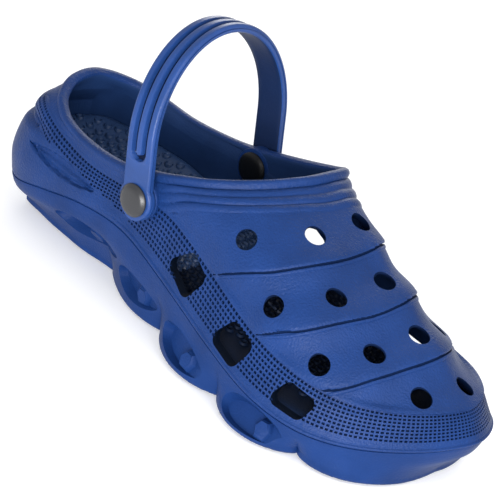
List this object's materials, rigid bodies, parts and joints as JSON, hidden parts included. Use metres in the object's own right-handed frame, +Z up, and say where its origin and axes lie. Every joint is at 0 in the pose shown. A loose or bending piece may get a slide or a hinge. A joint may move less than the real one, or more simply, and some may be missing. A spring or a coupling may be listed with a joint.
{
  "type": "rubber garden clog",
  "caption": "Slip-on moulded garden clog for the right foot, vented upper, lobed sole and swing-over heel strap on two rivets.",
  "frame": {"origin": "centre of the tread on the ground", "axes": "+X towards the toe, +Y towards the inner side of the foot, +Z up"},
  "size_m": [0.2883, 0.1166, 0.1384],
  "materials": {
    "upper_foam": "matt, fine leather grain",
    "sole_foam": "satin",
    "insole_foam": "matt, raised massage nubs",
    "strap_foam": "satin, two long grooves",
    "rivet_button": "satin",
    "rivet_cap": "matt"
  },
  "bodies": {
    "clog": {"upper": "upper_foam", "outsole": "sole_foam", "insole": "insole_foam", "rivet_stud_lateral": "rivet_button", "rivet_stud_medial": "rivet_button", "rivet_cap_lateral": "rivet_cap", "rivet_cap_medial": "rivet_cap"},
    "strap": {"heel_strap": "strap_foam"}
  },
  "joints": [
    {"name": "strap_pivot", "type": "hinge", "parent": "clog", "child": "strap", "pos_m": [-0.041, 0.0039, 0.059], "axis": [0, 1, 0], "range_deg": [-55, 60]}
  ]
}
